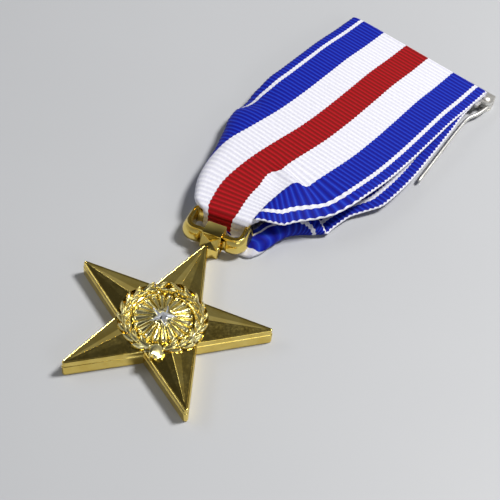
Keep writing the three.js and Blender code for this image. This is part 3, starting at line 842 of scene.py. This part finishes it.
# The same edge without its sharp peak, which the outer part of the pleat follows.
PLEAT_FLOW = [(46, 10.5, -46.2), (49, 10.2, -49.7), (51, 9.1, -51.6), (53.5, 8.3, -54.4),
              (56.5, 8.35, -58.3), (59, 8.7, -61.7), (60.5, 9.3, -64.4)]


def softened(values, times=8):
    for _ in range(times):
        values[1:-1] = (values[:-2] + 2 * values[1:-1] + values[2:]) / 4
    return values


def ribbon_surface():
    """The cloth's middle surface as rows of places, with how far down and how far across each lies."""
    curve = catmull_rom(middle_line(), 24)
    arc = np.concatenate([[0], np.cumsum(np.linalg.norm(np.diff(curve, axis=0), axis=1))])
    at = np.arange(int(arc[-1] / ROW) + 1) * ROW
    middle = np.array([np.interp(at, arc, curve[:, k]) for k in range(3)]).T
    fold = at[np.argmax(np.where(at < 20, middle[:, 1], -1e9))]
    s = at - fold
    bar = s[np.argmin(np.abs(middle[:, 2] - BAR_HIGH.z) + 100 * (np.abs(s - 70) > 8))]
    back = s - bar
    yaw = BAR_TURN * smooth_step(s, 53, bar - 3) * (1 - smooth_step(back, 5, 16))
    down = np.gradient(middle, axis=0)
    across = np.stack([np.cos(yaw), np.sin(yaw), 0 * yaw], 1)
    down -= (down * across).sum(1)[:, None] * across
    down /= np.linalg.norm(down, axis=1)[:, None]
    outward = -np.cross(across, down)
    t = np.linspace(-HALF_WIDTH, HALF_WIDTH, COLUMNS + 1)

    narrow = 0.05 * smooth_step(s, bar - 9, bar - 4) + 0.19 * smooth_step(s, bar - 3.4, bar - 1.4)
    squeeze = 1 - narrow * (1 - smooth_step(back, 2, 9))
    gather = 1 - 0.58 * smooth_step(s, bar - 10, bar - 3) * (1 - smooth_step(back, 3, 10))
    # Where each side starts to curl under, and the half-width of the curl.
    left = np.interp(s, [0, 30, 34, 38, 42, 46, 49, 54, 58, 63, bar - 3.6, bar - 1.6],
                     [12, 12, 10.5, 9.6, 9.8, 9.6, 8.9, 7.4, 6.6, 5.9, 5.7, 4.1])
    left_curl = np.interp(s, [0, 30, 34, 38, 42, 46, 49, 54, 58, 63, bar - 4, bar - 2.2],
                          [60, 40, 22, 13, 6.6, 5.2, 3.95, 3.1, 2.5, 1.3, 0.6, 0.17])
    right = np.interp(s, [bar - 12, bar - 9, bar - 6, bar - 2.5], [18.4, 11.0, 7.6, 6.0])
    behind = back > 0
    left = np.where(behind, np.interp(back, [1.5, 4, 6, 20, 36], [4.1, 5.4, 6.2, 10.5, 16.5]), left)
    left_curl = np.where(behind, np.interp(back, [2, 8, 30], [0.17, 0.3, 0.4]), left_curl)
    back_right = np.interp(back, [1, 3, 5, 8, 11, 14, 16.5], [6.5, 7.6, 8.8, 10.6, 12.4, 15, 18])
    right = np.where(behind, back_right, right)
    back_curl = np.interp(back, [1.5, 3, 5, 8, 12, 16], [0.17, 1, 1.45, 1.3, 0.8, 0.35])
    right_curl = np.where(behind, back_curl, 0.17)
    spread = np.interp(back, [1, 3, 5, 8, 11, 14, 17, 22, 28],
                       [0.75, 0.99, 1.03, 1.07, 1.02, 0.92, 0.88, 0.88, 1])
    right_squeeze = np.where(behind, spread, squeeze)
    for values in (left, right, left_curl, right_curl, right_squeeze):
        softened(values)

    places = np.zeros((len(s), len(t), 3))
    tallest = np.maximum((middle[:, 2] - 0.7) / 2, 0.17)
    for side, start, curl, width in ((-1, left, left_curl, squeeze), (1, right, right_curl, right_squeeze)):
        tall = softened(np.where((curl < 8) & ~behind, np.minimum(curl, tallest), curl), 30)
        slant = np.clip(np.arctan(-np.gradient(start, s)), -0.75, 0.75) * smooth_step(np.abs(back), 3, 6)
        columns = t * side >= 0
        q = np.abs(t[columns])[None, :]
        shape = (start, curl, tall, slant, width, gather)
        start, curl, tall, slant, width, tuck = (a[:, None] for a in shape)
        past = np.maximum(q - start, 0)
        along_fold = -past * np.sin(slant) * tuck
        over_fold = past * np.cos(slant)
        mean = (curl + tall) / 2
        angle = np.minimum(over_fold / mean, math.pi)
        flap = np.maximum(over_fold - math.pi * mean, 0) * tuck
        reach = curl * np.sin(angle) - flap
        out = np.minimum(q, start) * width - np.sin(slant) * along_fold + np.cos(slant) * reach
        on = np.cos(slant) * along_fold + np.sin(slant) * reach
        under = -tall * (1 - np.cos(angle))
        places[:, columns] = (middle[:, None, :] + (side * out)[..., None] * across[:, None, :]
                              + on[..., None] * down[:, None, :] + under[..., None] * outward[:, None, :])
    lay_pleat(places, s, t, middle, across, down)
    spread_back(places, s, t, back)
    sink_valley(places, s, t)
    settle(places, s, back)
    return places, s, t, back


def lay_pleat(places, s, t, middle, across, down):
    """The right of the front turns in and lies over itself, with its edge running to the loop."""
    edge, flow = catmull_rom(PLEAT_EDGE, 20), catmull_rom(PLEAT_FLOW, 20)
    for i in np.where((s > 42) & (s < 63))[0]:
        at = s[i]
        corner, outer = (np.array([np.interp(at, e[:, 0], e[:, k]) for k in (1, 2)]) for e in (edge, flow))
        turn = math.radians(38) * float(smooth_step(at, 44.5, 54.5))
        heading = np.array([math.cos(turn), -math.sin(turn)])
        hem = np.interp(at, [43, 51, 55, 58, 60.5], [8.95, 8.95, 10.2, 13.4, 17.3])
        row, mid = across[i, :2], middle[i, :2]
        begun = float(smooth_step(at, 46, 48.5))
        corner = corner * begun + (mid + hem * row) * (1 - begun)
        outer = outer * begun + (mid + hem * row) * (1 - begun)
        vx, vy = (corner - mid) @ row, (corner - mid) @ down[i, :2]
        stacked = float(smooth_step(at, 49.4, 50.6))
        turned = hem
        inner = corner
        if hem - vx > 0.3:
            turned = min(max((hem ** 2 - vx ** 2 - vy ** 2) / (2 * (hem - vx)), 4), hem)
            inner = mid + turned * row
        weight = float(smooth_step(at, 42, 45) * (1 - smooth_step(at, 60.6, 62.5)))
        for j in np.where(t > 0)[0]:
            q = t[j]
            z = middle[i, 2]
            if q <= turned:
                xy = mid + (inner - mid) * (q / turned)
            elif q <= hem:
                u = (q - turned) / (hem - turned)
                xy = inner + (corner - inner) * u
                z += stacked * LAYER_RISE * smooth_step(u, 0, 0.25)
            else:
                xy = corner + (outer - corner) * smooth_step(q - hem, 0.3, 4) + (q - hem) * heading
                rise = 2 * LAYER_RISE * smooth_step(q - hem, 0, 0.5)
                z += stacked * (rise - 0.9 * smooth_step(q - hem, 3, 9))
            places[i, j] = places[i, j] * (1 - weight) + np.array((xy[0], xy[1], z)) * weight


def spread_back(places, s, t, back):
    """Below the loop the cloth bulges out at the right, and the back's left side lies down."""
    wide = smooth_step(back, 0.6, 2) * (1 - smooth_step(back, 2.6, 6.5))
    side = smooth_step(t, 1, 6) * (1 - 0.5 * smooth_step(t, 7.5, 11))
    push = wide[:, None] * side[None, :] * 4.0
    heading = -0.05 * BAR_ACROSS - BAR_ALONG
    places[..., 0] += push * heading.x
    places[..., 1] += push * heading.y
    lying = smooth_step(back, 1.5, 6) * (1 - smooth_step(back, 40, 56))
    droop = lying[:, None] * smooth_step(-t, 5, 12)[None, :]
    places[..., 2] -= droop * (places[..., 2] - 0.24) * 0.9


def sink_valley(places, s, t):
    """The front swells and then sinks in a soft valley beside the pleat's peak."""
    for i in np.where((s > 47) & (s < 60))[0]:
        reach = float(smooth_step(s[i], 51.2, 52.7) * (1 - smooth_step(s[i], 53.4, 58)))
        swell = bell(s[i], 50.9, 1.2)
        places[i, :, 0] += (0.4 * swell - 0.9 * reach) * bell(t, 2.6, 2.2)
        places[i, :, 2] += (0.25 * swell - 0.4 * reach) * bell(t, 4.2, 2.2)


def settle(places, s, back):
    """Evens the rows out along the ribbon, away from its tight top fold."""
    pleat = smooth_step(s, 43, 46) * (1 - smooth_step(s, 60, 63))
    for times, weight in ((5, 1 - smooth_step(np.abs(back), 60, 64)), (3, pleat)):
        share = np.where(np.abs(s[1:-1]) < 4, 0, weight[1:-1] * 0.5)[:, None, None]
        for _ in range(times):
            places[1:-1] += share * ((places[:-2] + places[2:]) / 2 - places[1:-1])


def make_ribbon():
    places, s, t, back = ribbon_surface()
    down = np.gradient(places, axis=0)
    side = np.gradient(places, axis=1)
    normal = -np.cross(side, down)
    normal /= np.maximum(np.linalg.norm(normal, axis=2), 1e-9)[..., None]
    rib = np.array([RIB[k % 4] for k in range(len(s))]) * RIB_HEIGHT
    edge = np.clip((HALF_WIDTH - np.abs(t)) / 0.5, 0.35, 1)
    lift = (CLOTH / 2 + rib)[:, None] * edge[None, :]
    # The selvedge swells out a little at each rib.
    outward = side / np.maximum(np.linalg.norm(side, axis=2), 1e-9)[..., None]
    for column, sign in ((0, -1), (-1, 1)):
        places[:, column] += sign * outward[:, column] * (rib * 0.8)[:, None]
    front = places + normal * lift[..., None]
    rear = places - normal * lift[..., None]
    rows, n = len(s), len(t)
    size = rows * n
    vertices = np.concatenate([front.reshape(-1, 3), rear.reshape(-1, 3)])
    faces = []
    for i in range(rows - 1):
        for j in range(n - 1):
            a, b, c, d = i * n + j, i * n + j + 1, (i + 1) * n + j + 1, (i + 1) * n + j
            faces.append((a, d, c, b))
            faces.append((size + a, size + b, size + c, size + d))
    for i in range(rows - 1):
        for j, flip in ((0, False), (n - 1, True)):
            a, b = i * n + j, (i + 1) * n + j
            quad = (a, size + a, size + b, b)
            faces.append(quad[::-1] if flip else quad)
    for i, flip in ((0, True), (rows - 1, False)):
        for j in range(n - 1):
            a, b = i * n + j, i * n + j + 1
            quad = (a, size + a, size + b, b)
            faces.append(quad[::-1] if flip else quad)
    mesh = bpy.data.meshes.new("ribbon_cloth")
    mesh.from_pydata(vertices.tolist(), [], faces)
    weave = mesh.uv_layers.new(name="weave")
    u = np.tile(np.tile(t / RIBBON_WIDTH + 0.5, rows), 2)
    v = np.tile(np.repeat(s / RIBBON_WIDTH, n), 2)
    corner = np.empty(len(mesh.loops), np.int32)
    mesh.loops.foreach_get("vertex_index", corner)
    weave.data.foreach_set("uv", np.stack([u[corner], v[corner]], 1).astype(np.float32).ravel())
    mesh.transform(RIBBON)
    mesh.shade_smooth()
    ribbon = new_object("ribbon_cloth", mesh)
    ribbon.data.materials.append(grosgrain())
    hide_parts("ribbon")
    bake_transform(ribbon)


# ---- brooch ----
HINGE = (17.9, -0.4)
WIRE_Z = 1.08
WIRE_RADIUS = 0.38
NEEDLE_ROUTE = [(18.95, -0.7), (19.0, -2.6), (18.85, -4.6), (18.25, -7.2), (18.6, -10.4), (21.75, -28.6)]
POINT_LENGTH = 1.6
EYE_RADIUS, EYE_WIRE = 1.1, 0.35


def make_needle():
    """A drawn wire with a round eye at the hinge and a ground point."""
    shell = Shell()
    ring = [(HINGE[0] + EYE_RADIUS * math.cos(a), HINGE[1] + EYE_RADIUS * math.sin(a), WIRE_Z)
            for a in np.linspace(0, 2 * math.pi, 40, endpoint=False)]
    shell.add(*tube(ring, EYE_WIRE, 14, closed=True))
    wire = catmull_rom([(x, y, WIRE_Z) for x, y in NEEDLE_ROUTE], 12)
    aim = wire[-1] - wire[-2]
    aim = aim / np.linalg.norm(aim)
    radii = [WIRE_RADIUS] * len(wire)
    extra = []
    for k in range(1, 9):
        share = k / 8
        extra.append(wire[-1] + aim * (POINT_LENGTH - 0.1) * share)
        radii.append(WIRE_RADIUS * max(1 - share ** 2.2, 0) ** 0.7 * 0.97 + 0.02)
    shell.add(*tube(np.vstack([wire, extra]), radii, 16))
    needle = add_mesh("brooch_needle", shell.vertices, shell.faces, RIBBON, sharp=50)
    finish_piece(needle, NICKEL, "needle", ["pin_needle"])


def make_rivet():
    """A shank with a domed head on each ear."""
    profile = [(0.0, -0.02), (0.55, 0.0), (0.85, 0.1), (0.85, 0.2), (0.5, 0.38), (0.45, 0.45), (0.45, 1.75),
               (0.5, 1.8), (0.95, 2.28), (0.95, 2.42), (0.75, 2.6), (0.4, 2.7), (0.0, 2.73)]
    turns = 28
    vertices = []
    for r, z in profile:
        r = max(r, 1e-3)
        for k in range(turns):
            a = 2 * math.pi * k / turns
            vertices.append((HINGE[0] + r * math.cos(a), HINGE[1] + r * math.sin(a), z))
    rivet = add_mesh("hinge_rivet_headed", vertices, rings_to_faces(len(profile), turns), RIBBON, sharp=45)
    finish_piece(rivet, NICKEL, "ribbon_and_brooch", ["hinge_rivet"])


def dress_cad_node(node, width):
    """A stamped CAD piece keeps its shape, with its edges softened and drawn nickel on it."""
    obj = frame["nodes"][node]
    soften(obj, width)
    obj.data.materials.clear()
    obj.data.materials.append(NICKEL)


STITCHES, STITCH_START, STITCH_PITCH, STITCH_LEAN = 9, -14.5, 3.5, 0.9
STITCH_Z = 1.66
STITCH_RADIUS = 0.09


def make_stitches():
    """Sewing that wraps the plate and holds it to the ribbon's two ends."""
    shell = Shell()
    low, high = PLATE_LOW, -1.6
    for k in range(STITCHES):
        x = STITCH_START + STITCH_PITCH * k
        far = x + 2 * STITCH_LEAN
        route = [(x, low - 0.9, 2.75), (x + 0.05, low - 0.5, 2.3), (x + 0.15, low - 0.18, 1.85),
                 (x + 0.35, low + 0.3, STITCH_Z), (x + STITCH_LEAN, (low + high) / 2, STITCH_Z),
                 (far - 0.3, high - 0.3, STITCH_Z), (far - 0.1, high + 0.18, 1.85),
                 (far, high + 0.4, 2.3), (far, high + 0.7, 2.75)]
        shell.add(*tube(catmull_rom(route, 6), STITCH_RADIUS, 8))
    stitches = add_mesh("sewing_thread", shell.vertices, shell.faces, RIBBON, sharp=60)
    finish_piece(stitches, thread_material(), "ribbon_and_brooch")


# ---- stage ----
def make_stage():
    half = 1.5
    z = -0.03 * MM
    mesh = bpy.data.meshes.new("floor")
    corners = [(-half, -half, z), (half, -half, z), (half, half, z), (-half, half, z)]
    mesh.from_pydata(corners, [], [(0, 1, 2, 3)])
    floor = new_object("floor", mesh)
    floor.data.materials.append(floor_material())


def area_light(name, place, size, power, colour, aim=(0, -0.01, 0)):
    light = bpy.data.lights.new(name, "AREA")
    light.shape = "RECTANGLE"
    light.size, light.size_y = size
    light.energy = power
    light.color = colour
    obj = new_object(name, light)
    obj.location = place
    obj.rotation_euler = (Vector(aim) - Vector(place)).to_track_quat("-Z", "Y").to_euler()


def make_lights():
    area_light("key", (0.16, 0.22, 0.46), (0.12, 0.12), 3.3, (1.0, 0.985, 0.96))
    area_light("side", (0.42, -0.12, 0.24), (0.25, 0.12), 0.25, (0.96, 0.98, 1.0))
    area_light("fill", (-0.38, -0.22, 0.34), (0.3, 0.12), 0.5, (0.95, 0.97, 1.0))
    world = bpy.data.worlds.new("studio")
    bpy.context.scene.world = world
    world.use_nodes = True
    tree = world.node_tree
    sky = tree.nodes["Background"]
    place = tree.nodes.new("ShaderNodeTexCoord")
    split = tree.nodes.new("ShaderNodeSeparateXYZ")
    ramp = tree.nodes.new("ShaderNodeValToRGB")
    ramp.color_ramp.elements[0].position = 0.0
    ramp.color_ramp.elements[0].color = (0.6, 0.61, 0.63, 1)
    ramp.color_ramp.elements[1].position = 0.8
    ramp.color_ramp.elements[1].color = (0.05, 0.05, 0.05, 1)
    tree.links.new(place.outputs["Generated"], split.inputs[0])
    tree.links.new(split.outputs["Z"], ramp.inputs["Fac"])
    tree.links.new(ramp.outputs["Color"], sky.inputs["Color"])
    sky.inputs["Strength"].default_value = 0.8


def make_camera():
    camera = bpy.data.cameras.new("camera")
    camera.sensor_width = 36
    camera.lens = 73.95
    camera.clip_start = 0.005
    obj = new_object("camera", camera)
    obj.location = (0.078128, -0.111594, 0.134488)
    obj.rotation_euler = [math.radians(a) for a in (41.979, -5.062, 41.943)]
    bpy.context.scene.camera = obj


make_camera()
make_stage()
make_lights()
make_star()
make_burst()
make_branch(-1)
make_branch(1)
make_tie()
make_centre_star()
make_lug()
make_loop()
make_ribbon()
make_needle()
make_rivet()
dress_cad_node("brooch_plate", 0.12)
dress_cad_node("pin_catch", 0.08)
make_stitches()
bpy.context.scene.view_settings.view_transform = "Standard"
